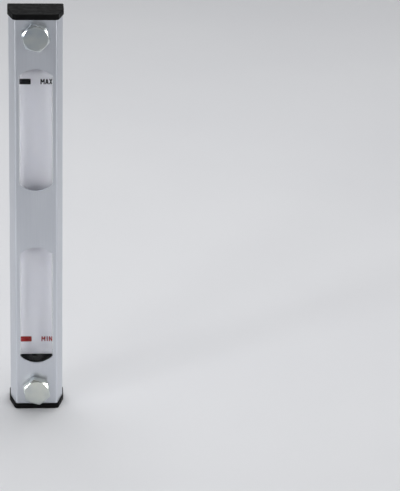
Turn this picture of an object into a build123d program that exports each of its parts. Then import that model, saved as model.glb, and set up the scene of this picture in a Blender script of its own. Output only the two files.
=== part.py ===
from build123d import *
import os
from math import sqrt

# Tank level gauge, millimetres.  +Z is up, the front with the windows faces -Y
# and the heads' flat backs lie in the plane Y = 0, where the tank wall goes.
# The origin is on that plane, midway between the two bolts.

# --- driving dimensions ------------------------------------------------------
bolt_centres = 254.0          # between the two bolt axes
bolt_to_end = 14.9            # from a bolt axis to the gauge's end

# Aluminium shroud: a channel that is open towards the tank.
shroud_width = 36.0
shroud_wall = 1.2
shroud_setback = 0.4          # its rear edges stop short of the tank face
bevel_inset = 3.7             # how far each side leans in at the front
bevel_depth = 14.0            # depth over which it leans in
front_corner_radius = 1.6     # outside bend between side and front
side_corner_radius = 3.0      # outside bend where the side starts to lean
bolt_hole_clearance = 0.4     # radial, shroud hole round the bolt

# Windows: two long slots with shallow arched ends.
window_width = 22.5
window_length = 85.4          # crown to crown
window_bridge = 41.0          # metal left between the two
window_drop = 1.5             # the pair sits this much below mid height
window_arch = 5.0             # height of each arched end

# Heads: black mouldings with an end cap, a block and a spigot.
cap_thickness = 3.8
cap_lip = 0.7                 # cap stands proud of the shroud all round
cap_corner_radius = 3.0       # front corners, seen from the end
cap_rear_radius = 1.2         # rear corners
cap_edge_radius = 0.5
block_length = 24.6           # from the cap to the tube's seat
block_clearance = 0.15        # block inside the shroud
block_corner_run = 6.0        # bevelled inner corners, along the gauge
block_corner_rise = 5.0       # and across it
bore_clearance = 0.2          # radial, head bore round the bolt
chamber_radius = 8.2          # fluid chamber round the bolt's cross holes
chamber_width = 8.0
passage_radius = 3.2          # from the chamber up to the sight tube
spigot_length = 6.5
spigot_clearance = 0.1        # radial, spigot inside the tube
spigot_chamfer = 0.6

# Sight tube and the scale strip inside it.
tube_radius = 12.5
tube_wall = 1.0
tube_front_gap = 0.3          # to the inside of the shroud's front
tube_rear_gap = 0.7           # to the tank face
strip_thickness = 1.0
strip_offset = 1.5            # strip's middle plane behind the tube's axis
strip_side_clearance = 0.12   # strip's edges inside the tube
strip_slot_depth = 1.5
strip_slot_clearance = 0.1
strip_end_clearance = 0.1

# Seals: rubber rings of round cord.
tube_seal_cord = 1.8
tank_seal_cord = 3.5
tank_seal_stand = 2.1         # free ring stands proud of the tank face
tank_seal_gap = 0.9           # radial, between the bolt and the ring
front_seal_cord = 2.2
front_seal_gap = 0.3          # radial, between the bolt and the ring
seal_seat_clearance = 0.1     # radial, round a ring in its counterbore

# Hollow bolts and flange nuts, M12.
bolt_radius = 6.0
bolt_reach = 18.0             # beyond the tank face
bolt_tip_chamfer = 1.2
bolt_bore_radius = 2.3
cross_hole_radius = 2.0
bore_run_past_cross = 3.0     # blind end of the axial bore, past the cross holes
bolt_across_flats = 17.0
head_height = 7.0
head_chamfer_height = 1.1
head_crown_radius = 8.0       # flat disc left on top of the chamfer
washer_face_height = 0.5
washer_face_radius = 7.9
upper_bolt_turn = -14.0       # degrees, where each was left when tightened
lower_bolt_turn = -18.0
thread_clearance = 0.05
nut_across_flats = 18.0
nut_height = 12.0
nut_flange_radius = 13.0
nut_flange_rim = 1.6          # straight rim at the flange's edge
nut_cone_height = 4.2         # where the flange's cone meets the hexagon
nut_chamfer_height = 0.9
nut_countersink = 0.7
nut_turn = 30.0

# --- places worked out from them --------------------------------------------
bolt_z = bolt_centres / 2
end_z = bolt_z + bolt_to_end
cap_inner_z = end_z - cap_thickness
tube_end_z = cap_inner_z - block_length
spigot_end_z = tube_end_z - spigot_length
tube_y = -(tube_rear_gap + tube_radius)
front_inside_y = tube_y - tube_radius - tube_front_gap
front_y = front_inside_y - shroud_wall
shroud_depth = -front_y
tube_bore_radius = tube_radius - tube_wall
spigot_radius = tube_bore_radius - spigot_clearance
strip_y = tube_y + strip_offset
strip_rear_offset = strip_offset + strip_thickness / 2
strip_half_width = sqrt(tube_bore_radius**2 - strip_rear_offset**2) - strip_side_clearance
block_front_y = front_inside_y + block_clearance
head_bore_radius = bolt_radius + bore_clearance
tank_seal_radius = bolt_radius + tank_seal_gap + tank_seal_cord / 2
front_seal_radius = bolt_radius + front_seal_gap + front_seal_cord / 2
tube_seal_z = tube_end_z - spigot_length / 2
tube_seal_radius = tube_bore_radius - tube_seal_cord / 2
nut_seat_y = tank_seal_stand


def along_y(shape, x=0.0, y=0.0, z=0.0):
    """Stand a shape made on +Z so that its axis runs along +Y from a point."""
    return Pos(x, y, z) * Rot(X=-90) * shape


def other_end(shape):
    """The same piece at the gauge's other end."""
    return mirror(shape, about=Plane.XY)


# --- shroud and heads --------------------------------------------------------
def channel_section(grow, rear_y):
    """Plan outline of the shroud, grown or shrunk, and cut off at the rear."""
    half = shroud_width / 2
    lean_y = front_y + bevel_depth
    far_y = shroud_depth
    outline = Polyline(
        (-half, far_y), (-half, lean_y), (-half + bevel_inset, front_y),
        (half - bevel_inset, front_y), (half, lean_y), (half, far_y), close=True,
    )
    section = make_face(outline)
    if grow:
        section = offset(section, amount=grow, kind=Kind.INTERSECTION)
    reach = 2 * (shroud_width + shroud_depth)
    keep = Pos(0, rear_y - reach / 2) * Rectangle(2 * reach, reach)
    return section & keep


def upright_edges(solid, lowest_y, highest_y):
    """Edges along Z whose place in depth lies between two values."""
    edges = solid.edges().filter_by(Axis.Z)
    return edges.filter_by_position(Axis.Y, lowest_y, highest_y)


def window(crown_z, direction):
    """Cutter for one window, from the crown nearer the middle outwards."""
    half = window_width / 2
    near = crown_z
    far = crown_z + direction * window_length
    near_corner = near + direction * window_arch
    far_corner = far - direction * window_arch
    outline = (
        Line((-half, near_corner), (-half, far_corner))
        + ThreePointArc((-half, far_corner), (0, far), (half, far_corner))
        + Line((half, far_corner), (half, near_corner))
        + ThreePointArc((half, near_corner), (0, near), (-half, near_corner))
    )
    face = make_face(outline)
    depth = shroud_wall + front_corner_radius
    return Pos(0, front_y + depth / 2, 0) * Rot(X=90) * extrude(face, depth, both=True)


def make_shroud():
    """Channel with two bends a side, two windows and two bolt holes."""
    height = 2 * cap_inner_z
    outside = extrude(channel_section(0, -shroud_setback), height)
    near = shroud_wall
    outside = fillet(upright_edges(outside, front_y - near, front_y + near), front_corner_radius)
    lean_y = front_y + bevel_depth
    outside = fillet(upright_edges(outside, lean_y - near, lean_y + near), side_corner_radius)
    inside = extrude(channel_section(-shroud_wall, 0), height)
    shroud = Pos(0, 0, -cap_inner_z) * (outside - inside)
    middle = -window_drop
    shroud -= window(middle + window_bridge / 2, 1)
    shroud -= window(middle - window_bridge / 2, -1)
    hole = Cylinder(bolt_radius + bolt_hole_clearance, 4 * shroud_wall)
    for z in (-bolt_z, bolt_z):
        shroud -= along_y(hole, 0, front_y, z)
    return shroud


def make_cap():
    """End cap: the shroud's outline with a lip all round and soft edges."""
    cap = extrude(channel_section(cap_lip, 0), cap_thickness)
    cap = fillet(upright_edges(cap, -cap_lip, 0), cap_rear_radius)
    lip_front_y = front_y - cap_lip
    lean_y = front_y + bevel_depth
    cap = fillet(upright_edges(cap, lean_y - cap_lip, lean_y + cap_lip), side_corner_radius + cap_lip)
    cap = fillet(upright_edges(cap, lip_front_y - cap_lip, lip_front_y + cap_lip), cap_corner_radius)
    cap = fillet(cap.faces().sort_by(Axis.Z)[-1].edges(), cap_edge_radius)
    return Pos(0, 0, cap_inner_z) * cap


def make_block():
    """Block that fills the end of the channel, with bevelled inner corners."""
    section = channel_section(-(shroud_wall + block_clearance), 0)
    block = Pos(0, 0, tube_end_z) * extrude(section, block_length)
    half = shroud_width / 2 - shroud_wall - block_clearance
    corner = make_face(Polyline(
        (half, tube_end_z), (half, tube_end_z + block_corner_run),
        (half - block_corner_rise, tube_end_z), close=True,
    ))
    corner = Rot(X=90) * extrude(corner, 2 * shroud_depth, both=True)
    return block - corner - mirror(corner, about=Plane.YZ)


def make_spigot():
    """Round spigot with a groove for the tube's seal and a slot for the strip."""
    overlap = block_length / 4
    spigot = Cylinder(spigot_radius, spigot_length + overlap, align=(Align.CENTER, Align.CENTER, Align.MIN))
    spigot = chamfer(spigot.faces().sort_by(Axis.Z)[0].edges(), spigot_chamfer)
    spigot = Pos(0, tube_y, spigot_end_z) * spigot
    groove_floor = tube_seal_radius - tube_seal_cord / 2
    groove = Cylinder(tube_radius, tube_seal_cord) - Cylinder(groove_floor, tube_seal_cord)
    spigot -= Pos(0, tube_y, tube_seal_z) * groove
    slot_width = strip_thickness + 2 * strip_slot_clearance
    slot_depth = strip_slot_depth + strip_end_clearance
    spigot -= Pos(0, strip_y, spigot_end_z) * Box(4 * tube_radius, slot_width, 2 * slot_depth)
    return spigot


def make_head():
    """One moulding: cap, block and spigot, bored for the bolt and the fluid."""
    head = make_cap() + make_block() + make_spigot()
    bore = Cylinder(head_bore_radius, 4 * shroud_depth)
    chamber = Cylinder(chamber_radius, chamber_width)
    head -= along_y(bore, 0, 0, bolt_z)
    head -= along_y(chamber, 0, tube_y, bolt_z)
    passage_length = bolt_z - spigot_end_z
    passage = Cylinder(passage_radius, passage_length, align=(Align.CENTER, Align.CENTER, Align.MIN))
    head -= Pos(0, tube_y, spigot_end_z) * passage
    tank_seat = Cylinder(
        tank_seal_radius + tank_seal_cord / 2 + seal_seat_clearance,
        2 * (tank_seal_cord - tank_seal_stand),
    )
    head -= along_y(tank_seat, 0, 0, bolt_z)
    front_seat_depth = front_seal_cord - block_clearance
    front_seat = Cylinder(
        front_seal_radius + front_seal_cord / 2 + seal_seat_clearance, 2 * front_seat_depth
    )
    head -= along_y(front_seat, 0, block_front_y, bolt_z)
    return head


# --- sight tube and scale strip ---------------------------------------------
def make_sight_tube():
    """Clear tube, slipped over both spigots and seated on the blocks."""
    length = 2 * tube_end_z
    return Pos(0, tube_y, 0) * (Cylinder(tube_radius, length) - Cylinder(tube_bore_radius, length))


def make_scale_strip():
    """Flat strip inside the tube, its ends in the spigots' slots."""
    length = 2 * (spigot_end_z + strip_slot_depth)
    return Pos(0, strip_y, 0) * Box(2 * strip_half_width, strip_thickness, length)


# --- seals -------------------------------------------------------------------
def make_tube_seal():
    return Pos(0, tube_y, tube_seal_z) * Torus(tube_seal_radius, tube_seal_cord / 2)


def make_tank_seal():
    y = tank_seal_stand - tank_seal_cord / 2
    return along_y(Torus(tank_seal_radius, tank_seal_cord / 2), 0, y, bolt_z)


def make_front_seal():
    y = front_inside_y + front_seal_cord / 2
    return along_y(Torus(front_seal_radius, front_seal_cord / 2), 0, y, bolt_z)


# --- bolts and nuts ----------------------------------------------------------
def chamfered_hexagon(across_flats, height, crown_radius, chamfer_height):
    """Hexagonal prism on +Z, a corner on +X, its upper corners turned off."""
    corner_radius = across_flats / sqrt(3)
    prism = extrude(RegularPolygon(corner_radius, 6), height)
    profile = make_face(Polyline(
        (0, 0), (corner_radius, 0), (corner_radius, height - chamfer_height),
        (crown_radius, height), (0, height), close=True,
    ))
    return prism & revolve(Plane.XZ * profile, Axis.Z)


def make_bolt(turn):
    """Hollow bolt: hexagon head, plain shank, axial bore and cross holes."""
    hexagon_height = head_height - washer_face_height
    head = chamfered_hexagon(
        bolt_across_flats, hexagon_height, head_crown_radius, head_chamfer_height
    )
    washer_face = Cylinder(washer_face_radius, washer_face_height)
    washer_y = front_y - washer_face_height / 2
    shank_length = bolt_reach - front_y
    shank = Cylinder(bolt_radius, shank_length, align=(Align.CENTER, Align.CENTER, Align.MIN))
    shank = chamfer(shank.faces().sort_by(Axis.Z)[-1].edges(), bolt_tip_chamfer)
    bolt = Pos(0, front_y - washer_face_height, bolt_z) * Rot(X=90) * Rot(Z=turn) * head
    bolt += along_y(washer_face, 0, washer_y, bolt_z)
    bolt += along_y(shank, 0, front_y, bolt_z)
    bore_end_y = tube_y - bore_run_past_cross
    bore_length = bolt_reach - bore_end_y
    bore = Cylinder(bolt_bore_radius, bore_length, align=(Align.CENTER, Align.CENTER, Align.MIN))
    bolt -= along_y(bore, 0, bore_end_y, bolt_z)
    cross = Cylinder(cross_hole_radius, 4 * bolt_radius)
    bolt -= Pos(0, tube_y, bolt_z) * cross
    bolt -= Pos(0, tube_y, bolt_z) * Rot(Y=90) * cross
    return bolt


def make_nut():
    """Flange nut: hexagon on a coned flange, bored and countersunk."""
    half_across = nut_across_flats / 2
    body = chamfered_hexagon(nut_across_flats, nut_height, half_across, nut_chamfer_height)
    flange_profile = make_face(Polyline(
        (0, 0), (nut_flange_radius, 0), (nut_flange_radius, nut_flange_rim),
        (half_across, nut_cone_height), (0, nut_cone_height), close=True,
    ))
    nut = Rot(Z=nut_turn) * body + revolve(Plane.XZ * flange_profile, Axis.Z)
    hole_radius = bolt_radius + thread_clearance
    nut -= Cylinder(hole_radius, 4 * nut_height)
    sink = Cone(
        hole_radius, hole_radius + nut_countersink, nut_countersink,
        align=(Align.CENTER, Align.CENTER, Align.MAX),
    )
    nut -= Pos(0, 0, nut_height) * sink
    return along_y(nut, 0, nut_seat_y, bolt_z)


def main():
    pieces = {
        "shroud": make_shroud(),
        "sight_tube": make_sight_tube(),
        "scale_strip": make_scale_strip(),
    }
    at_upper_end = {
        "head": make_head(),
        "tube_seal": make_tube_seal(),
        "tank_seal": make_tank_seal(),
        "front_seal": make_front_seal(),
        "hollow_bolt": make_bolt(upper_bolt_turn),
        "flange_nut": make_nut(),
    }
    at_lower_end = dict(at_upper_end, hollow_bolt=make_bolt(-lower_bolt_turn))
    for name, solid in at_upper_end.items():
        pieces["upper_" + name] = solid
    for name, solid in at_lower_end.items():
        pieces["lower_" + name] = other_end(solid)

    os.makedirs("parts", exist_ok=True)
    for name, solid in pieces.items():
        solid.label = name
        export_step(solid, os.path.join("parts", name + ".step"))


main()
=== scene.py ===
import bpy
import bmesh
from math import ceil, cos, pi, radians, sin, sqrt
from mathutils import Matrix, Vector


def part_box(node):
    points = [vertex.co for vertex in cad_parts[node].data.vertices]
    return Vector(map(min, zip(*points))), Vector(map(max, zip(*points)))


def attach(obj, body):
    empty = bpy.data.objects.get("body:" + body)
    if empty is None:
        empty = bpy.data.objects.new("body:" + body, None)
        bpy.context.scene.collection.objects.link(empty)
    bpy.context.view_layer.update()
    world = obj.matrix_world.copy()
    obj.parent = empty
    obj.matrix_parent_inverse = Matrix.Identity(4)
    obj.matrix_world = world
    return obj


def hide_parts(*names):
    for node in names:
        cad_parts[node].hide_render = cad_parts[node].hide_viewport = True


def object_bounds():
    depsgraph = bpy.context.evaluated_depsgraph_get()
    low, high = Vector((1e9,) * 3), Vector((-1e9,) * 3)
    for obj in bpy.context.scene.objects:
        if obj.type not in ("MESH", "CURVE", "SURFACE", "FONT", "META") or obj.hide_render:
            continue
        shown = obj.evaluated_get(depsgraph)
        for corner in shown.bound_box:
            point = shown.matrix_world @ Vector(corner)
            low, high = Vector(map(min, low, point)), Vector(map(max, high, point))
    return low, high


# A sight gauge for an oil tank: a clear tube with a scale strip in it, held in a
# windowed aluminium shroud between two black heads, with a hollow bolt through
# each head.  +Z is up, the windows face -Y and the tank would be at Y = 0.
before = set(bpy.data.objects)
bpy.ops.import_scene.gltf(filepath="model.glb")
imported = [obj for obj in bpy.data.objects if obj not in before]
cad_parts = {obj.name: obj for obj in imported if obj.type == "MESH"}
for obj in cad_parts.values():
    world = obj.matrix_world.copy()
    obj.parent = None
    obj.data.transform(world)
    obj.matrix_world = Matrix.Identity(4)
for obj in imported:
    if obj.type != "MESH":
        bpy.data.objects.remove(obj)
cad_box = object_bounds()
mm = 0.001


# --- Shroud ------------------------------------------------------------------
# A channel of drawn aluminium with two windows punched in its front, satin
# anodised in its natural colour.  Drawing left faint lines along its length,
# and the anodised skin is a little cloudy.

aluminium_dark = (0.64, 0.665, 0.715)
aluminium_light = (0.69, 0.715, 0.76)
drawn_line_depth = 0.003 * mm
shroud_edge = 0.12 * mm


def node(nodes, kind, place, **values):
    """A shader node, with its options and its inputs' constants set by name."""
    made = nodes.new(kind)
    made.location = place
    for name, value in values.items():
        if hasattr(made, name):
            setattr(made, name, value)
        else:
            made.inputs[name.replace("_", " ")].default_value = value
    return made


def new_material(name, **constants):
    """A material with one Principled shader, and its node tree and shader."""
    made = bpy.data.materials.new(name)
    made.use_nodes = True
    tree = made.node_tree
    shader = tree.nodes["Principled BSDF"]
    shader.location = (300, 0)
    for socket, value in constants.items():
        shader.inputs[socket.replace("_", " ")].default_value = value
    return made, tree, shader


def grain(tree, scale, stretch=(1, 1, 1), detail=4.0, row=0):
    """Noise laid over the object in metres; stretch squeezes it along an axis."""
    coords = node(tree.nodes, "ShaderNodeTexCoord", (-1300, row))
    mapping = node(tree.nodes, "ShaderNodeMapping", (-1100, row), Scale=stretch)
    noise = node(tree.nodes, "ShaderNodeTexNoise", (-900, row),
                 Scale=scale, Detail=detail, Roughness=0.55)
    tree.links.new(coords.outputs["Object"], mapping.inputs["Vector"])
    tree.links.new(mapping.outputs["Vector"], noise.inputs["Vector"])
    return noise.outputs["Fac"]


def spread(tree, value, low, high, row=0, start=0.3, stop=0.7):
    """Map a 0 to 1 grain onto the range low to high."""
    made = node(tree.nodes, "ShaderNodeMapRange", (-650, row))
    made.inputs["From Min"].default_value = start
    made.inputs["From Max"].default_value = stop
    made.inputs["To Min"].default_value = low
    made.inputs["To Max"].default_value = high
    tree.links.new(value, made.inputs["Value"])
    return made.outputs["Result"]


def tint(tree, value, dark, light, row=0):
    """Colour that runs from dark to light with a 0 to 1 value."""
    made = node(tree.nodes, "ShaderNodeMix", (-450, row), data_type="RGBA")
    made.inputs["A"].default_value = (*dark, 1)
    made.inputs["B"].default_value = (*light, 1)
    tree.links.new(value, made.inputs["Factor"])
    return made.outputs["Result"]


def soft_edges_and_bump(tree, shader, height, depth, edge):
    """Round the sharp edges a little and raise the grain by a real depth."""
    rounded = node(tree.nodes, "ShaderNodeBevel", (-250, -400), samples=6, Radius=edge)
    bump = node(tree.nodes, "ShaderNodeBump", (0, -400), Strength=1.0, Distance=depth)
    tree.links.new(rounded.outputs["Normal"], bump.inputs["Normal"])
    tree.links.new(height, bump.inputs["Height"])
    tree.links.new(bump.outputs["Normal"], shader.inputs["Normal"])


def anodised_aluminium():
    """Satin metal with fine drawn lines along Z and a broad, faint cloud."""
    made, tree, shader = new_material("anodised aluminium", Metallic=1.0)
    lines = grain(tree, 2600, stretch=(1, 1, 0.012), detail=3, row=300)
    cloud = grain(tree, 60, stretch=(1, 1, 0.3), detail=5, row=0)
    both = node(tree.nodes, "ShaderNodeMix", (-700, 150), data_type="FLOAT", Factor=0.6)
    tree.links.new(lines, both.inputs["A"])
    tree.links.new(cloud, both.inputs["B"])
    shade = spread(tree, both.outputs["Result"], 0, 1, row=150, start=0.35, stop=0.65)
    tree.links.new(tint(tree, shade, aluminium_dark, aluminium_light, row=150),
                   shader.inputs["Base Color"])
    tree.links.new(spread(tree, cloud, 0.30, 0.37, row=-100), shader.inputs["Roughness"])
    soft_edges_and_bump(tree, shader, lines, drawn_line_depth, shroud_edge)
    return made


def dress(name, material):
    """Give a carried-over solid its finish."""
    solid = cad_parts[name]
    for place in range(len(solid.data.materials)):
        solid.data.materials[place] = material
    return solid


dress("shroud", anodised_aluminium())


# --- Heads -------------------------------------------------------------------
# Each head is one moulding in black glass-filled nylon: an end cap, the block
# that fills the channel, and the spigot that the tube sits on.  The mould's
# fine texture leaves it matte, with a faint bloom on its broad faces.

nylon_dark = (0.0012, 0.0012, 0.0014)
nylon_light = (0.005, 0.005, 0.0052)
mould_texture_depth = 0.012 * mm
head_edge = 0.25 * mm


def black_nylon():
    """Matte black plastic with fine pimples and a patchy bloom."""
    made, tree, shader = new_material("black nylon", IOR=1.5, Specular_IOR_Level=0.07)
    pimples = grain(tree, 4200, detail=2, row=300)
    bloom = grain(tree, 220, detail=8, row=0)
    tree.links.new(tint(tree, spread(tree, bloom, 0, 1), nylon_dark, nylon_light),
                   shader.inputs["Base Color"])
    tree.links.new(spread(tree, bloom, 0.4, 0.75, row=-150), shader.inputs["Roughness"])
    soft_edges_and_bump(tree, shader, pimples, mould_texture_depth, head_edge)
    return made


nylon = black_nylon()
ends = ("upper", "lower")
for end in ends:
    dress(end + "_head", nylon)


# --- Sight tube --------------------------------------------------------------
# A length of clear plastic tube, slipped over both spigots.  Its cut ends are
# lightly broken, and its wall shows the slight lengthwise flow of the extrusion.

tube_low, tube_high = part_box("sight_tube")
tube_centre = (tube_low + tube_high) / 2
tube_radius = (tube_high.x - tube_low.x) / 2
tube_wall = 1.0 * mm
tube_edge = 0.15 * mm
tube_facets = 128
tube_tint = (0.985, 0.99, 0.99, 1)


def new_piece(name, made, place=(0, 0, 0)):
    """A piece from the finished sketch of its mesh, set in its place."""
    mesh = bpy.data.meshes.new(name)
    made.to_mesh(mesh)
    made.free()
    mesh.transform(Matrix.Translation(place))
    piece = bpy.data.objects.new(name, mesh)
    bpy.context.collection.objects.link(piece)
    return piece


def closed_turning(name, profile, steps, centre):
    """A ring turned about Z from a closed profile of (radius, height) points."""
    made = bmesh.new()
    columns = []
    for step in range(steps):
        angle = 2 * pi * step / steps
        columns.append([made.verts.new((r * cos(angle), r * sin(angle), z)) for r, z in profile])
    for step in range(steps):
        here, there = columns[step], columns[(step + 1) % steps]
        for row in range(len(profile)):
            after = (row + 1) % len(profile)
            made.faces.new((here[row], there[row], there[after], here[after]))
    bmesh.ops.recalc_face_normals(made, faces=made.faces)
    return new_piece(name, made, centre)


def shade_smooth(piece, angle=30):
    """Smooth shading, but sharp where two faces meet at more than an angle."""
    mesh = piece.data
    mesh.shade_smooth()
    made = bmesh.new()
    made.from_mesh(mesh)
    for edge in made.edges:
        if len(edge.link_faces) == 2:
            edge.smooth = edge.calc_face_angle() < radians(angle)
    made.to_mesh(mesh)
    made.free()


def clear_plastic():
    """Clear wall; its low index keeps its own reflection off the black behind it."""
    made, tree, shader = new_material("clear plastic", Base_Color=tube_tint, IOR=1.25,
                                      Specular_IOR_Level=0.5, Transmission_Weight=1.0)
    flow = grain(tree, 160, stretch=(1, 1, 0.04), detail=2, row=0)
    tree.links.new(spread(tree, flow, 0.015, 0.035), shader.inputs["Roughness"])
    return made


tube_end = (tube_high.z - tube_low.z) / 2
tube_bore = tube_radius - tube_wall
tube_profile = [
    (tube_radius, -tube_end + tube_edge), (tube_radius, tube_end - tube_edge),
    (tube_radius - tube_edge, tube_end), (tube_bore + tube_edge, tube_end),
    (tube_bore, tube_end - tube_edge), (tube_bore, -tube_end + tube_edge),
    (tube_bore + tube_edge, -tube_end), (tube_radius - tube_edge, -tube_end),
]
sight_tube = closed_turning("clear_sight_tube", tube_profile, tube_facets, tube_centre)
shade_smooth(sight_tube)
sight_tube.data.materials.append(clear_plastic())
# The clear wall lets the light through to the strip.
sight_tube.visible_shadow = False
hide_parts("sight_tube")
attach(sight_tube, "root")


# --- Scale strip -------------------------------------------------------------
# A flat strip of white plastic that stands inside the tube, its ends held in
# the spigots' slots and notched so that they leave the oil's passage open.
# Light from the open back shines through it.

strip_low, strip_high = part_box("scale_strip")
notch_width = 7.0 * mm
notch_depth = 1.5 * mm
strip_edge = 0.1 * mm
strip_dark = (0.79, 0.79, 0.835)
strip_light = (0.83, 0.83, 0.87)
light_reach = 1.0 * mm


def notched_strip(name, low, high):
    """A flat bar with a shallow notch in the middle of each end."""
    side, notch = high.x, notch_width / 2
    quarter = [(notch, high.z - notch_depth), (notch, high.z), (side, high.z)]
    outline = quarter + [(x, -z) for x, z in reversed(quarter)]
    outline += [(-x, z) for x, z in reversed(outline)]
    made = bmesh.new()
    front = made.faces.new([made.verts.new((x, low.y, z)) for x, z in outline])
    back = bmesh.ops.extrude_face_region(made, geom=[front])["geom"]
    back_corners = [part for part in back if isinstance(part, bmesh.types.BMVert)]
    bmesh.ops.translate(made, vec=(0, high.y - low.y, 0), verts=back_corners)
    bmesh.ops.recalc_face_normals(made, faces=made.faces)
    bmesh.ops.bevel(made, geom=list(made.edges), offset=strip_edge, segments=2, affect="EDGES")
    return new_piece(name, made)


def white_plastic():
    """Milky white plastic, a little cloudy along its length."""
    made, tree, shader = new_material("white plastic", IOR=1.5, Roughness=0.4,
                                      Specular_IOR_Level=0.2, Subsurface_Weight=1.0,
                                      Subsurface_Radius=(1, 1, 1), Subsurface_Scale=light_reach)
    cloud = grain(tree, 90, stretch=(1, 1, 0.15), detail=4, row=0)
    tree.links.new(tint(tree, spread(tree, cloud, 0, 1), strip_dark, strip_light),
                   shader.inputs["Base Color"])
    return made


strip = notched_strip("notched_scale_strip", strip_low, strip_high)
strip.data.materials.append(white_plastic())
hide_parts("scale_strip")
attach(strip, "root")


# --- Printed marks -----------------------------------------------------------
# The two oil levels are printed on the strip's face: a bar at its left edge and
# a word at its right, black for the upper level and red for the lower one.

ink_thickness = 0.02 * mm
ink_y = strip_low.y - ink_thickness / 2
bar_size = (7.8 * mm, 3.9 * mm)
bar_left = -11.1 * mm
bar_corner = 0.25 * mm
word_height = 3.7 * mm
stroke_width = 0.75 * mm
letter_widths = {"M": 2.8 * mm, "A": 2.5 * mm, "X": 2.3 * mm, "I": stroke_width, "N": 2.5 * mm}
# Each stroke runs between two places, as shares of the letter's width and height.
letter_strokes = {
    "M": [((0, 0), (0, 1)), ((0, 1), (0.5, 0.35)), ((0.5, 0.35), (1, 1)), ((1, 1), (1, 0))],
    "A": [((0, 0), (0.5, 1)), ((0.5, 1), (1, 0)), ((0.15, 0.28), (0.85, 0.28))],
    "X": [((0, 0), (1, 1)), ((0, 1), (1, 0))],
    "I": [((0, 0), (0, 1))],
    "N": [((0, 0), (0, 1)), ((0, 1), (1, 0)), ((1, 0), (1, 1))],
}


def ink(name, dark, light):
    """Dull printing ink that covers a little unevenly."""
    made, tree, shader = new_material(name, Roughness=0.45, Specular_IOR_Level=0.03)
    cover = grain(tree, 2500, detail=3, row=0)
    tree.links.new(tint(tree, spread(tree, cover, 0, 1), dark, light), shader.inputs["Base Color"])
    return made


def printed_bar(name, z):
    """A thin slab of ink with softened corners."""
    made = bmesh.new()
    bmesh.ops.create_cube(made, size=1)
    bmesh.ops.scale(made, vec=(bar_size[0], ink_thickness, bar_size[1]), verts=made.verts)
    upright = [edge for edge in made.edges
               if abs(edge.verts[0].co.y - edge.verts[1].co.y) > ink_thickness / 2]
    bmesh.ops.bevel(made, geom=upright, offset=bar_corner, segments=4, affect="EDGES")
    return new_piece(name, made, (bar_left + bar_size[0] / 2, ink_y, z))


def stroke(made, start, end, half, upright=False):
    """One stroke of ink between two points, its ends cut level, or upright."""
    aside = Vector((0, half)) if upright else Vector((half, 0))
    corners = [start - aside, start + aside, end + aside, end - aside]
    back = [made.verts.new((x, strip_low.y, z)) for x, z in corners]
    front = [made.verts.new((x, strip_low.y - ink_thickness, z)) for x, z in corners]
    made.faces.new(back)
    made.faces.new(front)
    for here in range(4):
        there = (here + 1) % 4
        made.faces.new((back[here], back[there], front[there], front[here]))


def combine(piece, operation, others, overlapping=False):
    """Join closed pieces to a piece, or cut them out of it, for good."""
    for other in others:
        step = piece.modifiers.new(operation, "BOOLEAN")
        step.operation = operation
        step.solver = "EXACT"
        step.use_self = overlapping
        step.object = other
    solid = piece.evaluated_get(bpy.context.evaluated_depsgraph_get())
    combined = bpy.data.meshes.new_from_object(solid)
    piece.modifiers.clear()
    piece.data = combined
    piece.data.materials.clear()
    for other in others:
        bpy.data.objects.remove(other)


def printed_word(name, word, left, width, z):
    """A word in plain upright capitals, the strokes of each letter run together."""
    half = stroke_width / 2
    gap = (width - sum(letter_widths[letter] for letter in word)) / (len(word) - 1)
    first_strokes, other_strokes = bmesh.new(), bmesh.new()
    for letter in word:
        across = letter_widths[letter] - stroke_width
        for number, tips in enumerate(letter_strokes[letter]):
            start, end = (Vector((left + half + across * x, z + word_height * (y - 0.5)))
                          for x, y in tips)
            made = other_strokes if number else first_strokes
            stroke(made, start, end, half, upright=start.y == end.y)
        left += letter_widths[letter] + gap
    for made in (first_strokes, other_strokes):
        bmesh.ops.recalc_face_normals(made, faces=made.faces)
    piece = new_piece(name, first_strokes)
    combine(piece, "UNION", [new_piece("other_strokes", other_strokes)], overlapping=True)
    return piece


black_ink = ink("black ink", (0.003, 0.003, 0.004), (0.006, 0.006, 0.007))
red_ink = ink("red ink", (0.30, 0.012, 0.010), (0.38, 0.018, 0.015))
# The level's height, the left end and the width of its word, and its ink.
levels = {
    "MAX": (91.3 * mm, 3.2 * mm, 8.1 * mm, black_ink),
    "MIN": (-95.7 * mm, 3.5 * mm, 7.7 * mm, red_ink),
}
for word, (z, left, width, material) in levels.items():
    bar = printed_bar(word.lower() + "_bar", z)
    for piece in (bar, printed_word(word.lower() + "_word", word, left, width, z)):
        piece.data.materials.append(material)
        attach(piece, "root")


# --- Seals -------------------------------------------------------------------
# Rings of black nitrile rubber, moulded with a smooth, faintly dusty skin.  Each
# head has three: one in the tube, one against the tank, one behind the shroud.

rubber_dark = (0.012, 0.012, 0.012)
rubber_light = (0.03, 0.03, 0.029)
dust_depth = 0.006 * mm


def black_rubber():
    """Soft black rubber with a fine dust on it."""
    made, tree, shader = new_material("black rubber", IOR=1.52)
    dust = grain(tree, 900, detail=6, row=0)
    tree.links.new(tint(tree, spread(tree, dust, 0, 1), rubber_dark, rubber_light),
                   shader.inputs["Base Color"])
    tree.links.new(spread(tree, dust, 0.45, 0.65, row=-150), shader.inputs["Roughness"])
    bump = node(tree.nodes, "ShaderNodeBump", (0, -300), Strength=1.0, Distance=dust_depth)
    tree.links.new(dust, bump.inputs["Height"])
    tree.links.new(bump.outputs["Normal"], shader.inputs["Normal"])
    return made


rubber = black_rubber()
for end in ends:
    for ring in ("_tube_seal", "_tank_seal", "_front_seal"):
        dress(end + ring, rubber)


# --- Hollow bolts ------------------------------------------------------------
# An M12 bolt through each head, cold forged in steel, bored up the middle and
# across so that oil reaches the tube, thread rolled, then plated with zinc.

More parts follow.
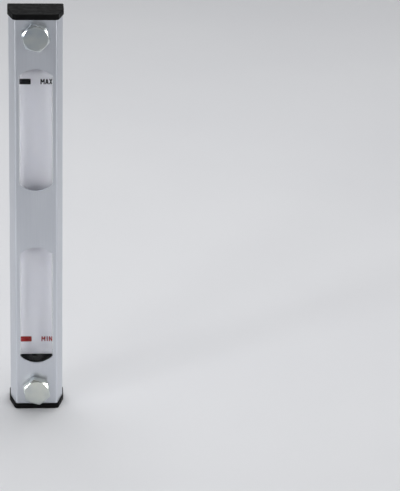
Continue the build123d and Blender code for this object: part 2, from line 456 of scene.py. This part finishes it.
bolt_centres = 254.0 * mm
bolt_columns = 96
across_flats = 17.0 * mm
crown_radius = 8.0 * mm
crown_drop = 1.1 * mm
washer_radius = 7.9 * mm
washer_height = 0.5 * mm
bolt_head_height = 7.0 * mm
shank_radius = 6.0 * mm
tip_chamfer = 1.2 * mm
bore_radius = 2.3 * mm
bore_countersink = 0.25 * mm
bore_depth = 34.2 * mm
cross_radius = 2.0 * mm
cross_from_bore_end = 3.0 * mm
thread_pitch = 1.75 * mm
thread_depth = 1.05 * mm
thread_length = 8.0 * mm
thread_crest_share = 0.06
thread_flank_share = 0.35
rings_per_pitch = 20
inner_ring_share = 0.5
bolt_turns = {"upper": -14, "lower": -18}
# The dark bluish and the straw tones are partly the plate's film and partly painted reflection of
# what the heads mirror.
zinc_dark_film_and_painted_reflection = (0.44, 0.50, 0.57)
zinc_light_film_and_painted_reflection = (0.73, 0.755, 0.70)
zinc_grain_depth = 0.004 * mm
zinc_edge = 0.1 * mm


def hexagon_radius(angle):
    """Distance from the middle of the hexagon to its side, a corner at zero."""
    return across_flats / 2 / cos(angle % (pi / 3) - pi / 6)


def thread_groove(y, angle, start):
    """How far the right-handed thread is cut in at a place on the shank."""
    from_crest = abs((y / thread_pitch + angle / (2 * pi)) % 1 - 0.5)
    down_the_flank = min(max((from_crest - thread_crest_share) / thread_flank_share, 0), 1)
    fade_in = min(max((y - start) / thread_pitch, 0), 1)
    return thread_depth * down_the_flank * fade_in


def bolt_rings(top, tip, turn):
    """Rings of (radius, y) from the crown to the blind end of the bore."""
    angles = [turn + 2 * pi * step / bolt_columns for step in range(bolt_columns)]
    seat = top + bolt_head_height
    corner = across_flats / sqrt(3)
    sides = [hexagon_radius(angle - turn) for angle in angles]
    slope = crown_drop / (corner - crown_radius)

    def level(radius, y):
        return [(radius, y)] * bolt_columns

    rings = [level(inner_ring_share * crown_radius, top), level(crown_radius, top)]
    rings.append([(side, top + slope * (side - crown_radius)) for side in sides])
    rings.append([(side, seat - washer_height) for side in sides])
    rings += [level(washer_radius, seat - washer_height), level(washer_radius, seat)]
    rings += [level(shank_radius, seat), level(shank_radius, (seat + tip) / 2)]
    start = tip - thread_length
    count = ceil(thread_length / thread_pitch * rings_per_pitch)
    for step in range(count + 1):
        y = start + thread_length * step / count
        widest = shank_radius - max(y - (tip - tip_chamfer), 0)
        ring = [(min(shank_radius - thread_groove(y, angle, start), widest), y) for angle in angles]
        rings.append(ring)
    rings += [level(bore_radius + bore_countersink, tip), level(bore_radius, tip - bore_countersink)]
    rings.append(level(bore_radius, tip - bore_depth))
    rings.append(level(inner_ring_share * bore_radius, tip - bore_depth))
    return angles, rings


def turned_bolt(name, top, tip, z, turn):
    """The bolt as one closed skin, lying along Y, with its head towards -Y."""
    angles, rings = bolt_rings(top, tip, turn)
    made = bmesh.new()
    rows = []
    for ring in rings:
        rows.append([made.verts.new((r * cos(angle), y, z + r * sin(angle)))
                     for (r, y), angle in zip(ring, angles)])
    for row, below in zip(rows, rows[1:]):
        for step in range(bolt_columns):
            after = (step + 1) % bolt_columns
            made.faces.new((row[step], row[after], below[after], below[step]))
    for row, y in ((rows[0], top), (rows[-1], tip - bore_depth)):
        middle = made.verts.new((0, y, z))
        for step in range(bolt_columns):
            made.faces.new((row[step], row[(step + 1) % bolt_columns], middle))
    bmesh.ops.recalc_face_normals(made, faces=made.faces)
    return new_piece(name, made)


def drill_across(piece, y, z):
    """Cut the two cross holes that let the oil out of the bore."""
    drills = []
    for tilt, axis in ((0, "X"), (pi / 2, "Y")):
        made = bmesh.new()
        bmesh.ops.create_cone(made, cap_ends=True, segments=32, radius1=cross_radius,
                              radius2=cross_radius, depth=4 * shank_radius)
        drill = new_piece("drill", made)
        drill.data.transform(Matrix.Translation((0, y, z)) @ Matrix.Rotation(tilt, 4, axis))
        drills.append(drill)
    combine(piece, "DIFFERENCE", drills)


def zinc_plate():
    """Bright plate with a broad bluish to straw tint, partly the zinc's own film and partly painted
    reflection, and a fine grain.
    """
    made, tree, shader = new_material("zinc plate", Metallic=1.0)
    # Broad patches of dark blue and straw: the plate's film tint with a painted reflection on top.
    film_and_painted_reflection = grain(tree, 35, detail=3, row=300)
    fine = grain(tree, 1800, detail=5, row=0)
    shade = spread(tree, film_and_painted_reflection, 0, 1, row=300, start=0.4, stop=0.62)
    tree.links.new(tint(tree, shade, zinc_dark_film_and_painted_reflection, zinc_light_film_and_painted_reflection), shader.inputs["Base Color"])
    tree.links.new(spread(tree, fine, 0.13, 0.22, row=0), shader.inputs["Roughness"])
    soft_edges_and_bump(tree, shader, fine, zinc_grain_depth, zinc_edge)
    return made


zinc = zinc_plate()
for end in ends:
    name = end + "_hollow_bolt"
    low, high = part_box(name)
    centre_z = bolt_centres / 2 if end == "upper" else -bolt_centres / 2
    bolt = turned_bolt("threaded_" + name, low.y, high.y, centre_z, radians(bolt_turns[end]))
    drill_across(bolt, high.y - bore_depth + cross_from_bore_end, centre_z)
    shade_smooth(bolt)
    bolt.data.materials.append(zinc)
    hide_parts(name)
    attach(bolt, "root")


# --- Flange nuts -------------------------------------------------------------
# A nut with its own washer flange closes each bolt on the inside of the tank,
# cold forged and zinc plated like the bolt.

for end in ends:
    dress(end + "_flange_nut", zinc)


# --- Floor and light ---------------------------------------------------------
# A pale floor that runs out of sight and a soft grey room.  One large soft lamp
# hangs above and behind, and narrow beams come from both sides and both front
# corners.  Places and sizes are in metres, power in watts.

floor_z = cad_box[0].z
floor_radius = 8.0
floor_dark = (0.765, 0.77, 0.79)
floor_light = (0.795, 0.80, 0.815)
room_front = (0.24, 0.243, 0.25)
room_back = (0.31, 0.315, 0.325)


def pale_floor():
    """Matte pale floor with a broad, faint cloud."""
    made, tree, shader = new_material("pale floor", Roughness=0.6, Specular_IOR_Level=0.2)
    cloud = grain(tree, 3, detail=3, row=0)
    tree.links.new(tint(tree, spread(tree, cloud, 0, 1), floor_dark, floor_light),
                   shader.inputs["Base Color"])
    return made


made = bmesh.new()
bmesh.ops.create_circle(made, cap_ends=True, segments=96, radius=floor_radius)
floor = new_piece("floor", made)
floor.location.z = floor_z
floor.data.materials.append(pale_floor())

world = bpy.data.worlds.new("soft room")
world.use_nodes = True
room = world.node_tree
direction = node(room.nodes, "ShaderNodeTexCoord", (-900, 0))
front_to_back = node(room.nodes, "ShaderNodeSeparateXYZ", (-700, 0))
room.links.new(direction.outputs["Generated"], front_to_back.inputs["Vector"])
shade = spread(room, front_to_back.outputs["Y"], 0, 1, start=-0.6, stop=0.6)
room.links.new(tint(room, shade, room_front, room_back), room.nodes["Background"].inputs["Color"])
bpy.context.scene.world = world


def soft_lamp(name, place, size, power, beam=180):
    """A soft lamp that faces the gauge: its width and height, beam in degrees."""
    light = bpy.data.lights.new(name, "AREA")
    light.shape = "RECTANGLE"
    light.size, light.size_y = size
    light.energy = power
    light.spread = radians(beam)
    lamp = bpy.data.objects.new(name, light)
    lamp.location = place
    lamp.rotation_euler = (-Vector(place)).to_track_quat("-Z", "Y").to_euler()
    bpy.context.collection.objects.link(lamp)


def lamp_pair(prefix, place, size, power, beam):
    """The same lamp at the left and at the right of the gauge."""
    x, y, z = place
    soft_lamp(prefix + "left_lamp", (-x, y, z), size, power, beam)
    soft_lamp(prefix + "right_lamp", (x, y, z), size, power, beam)


lamp_pair("", place=(1.3, -1.0, 0.3), size=(0.25, 0.8), power=0.58, beam=45)
lamp_pair("front_", place=(1.28, -1.83, 0.56), size=(0.5, 0.5), power=0.41, beam=40)
soft_lamp("top_lamp", place=(0.1, 0.55, 1.4), size=(1.1, 1.1), power=14.5)


# --- Camera ------------------------------------------------------------------
# It looks slightly down on the front of the gauge from about a metre and a
# half, with the gauge standing at the left of the frame.

camera_data = bpy.data.cameras.new("camera")
camera_data.sensor_width = 36
camera_data.lens = 176
camera_data.clip_end = 50
camera = bpy.data.objects.new("camera", camera_data)
camera_place = Vector((-10.9, -1552.0, 567.1)) * mm
look_down, look_right, lean = radians(21.03), radians(4.59), radians(1.35)
camera.matrix_world = (
    Matrix.Translation(camera_place) @ Matrix.Rotation(-look_right, 4, "Z")
    @ Matrix.Rotation(pi / 2 - look_down, 4, "X") @ Matrix.Rotation(lean, 4, "Z")
)
bpy.context.collection.objects.link(camera)
bpy.context.scene.camera = camera
bpy.context.scene.view_settings.view_transform = "Standard"
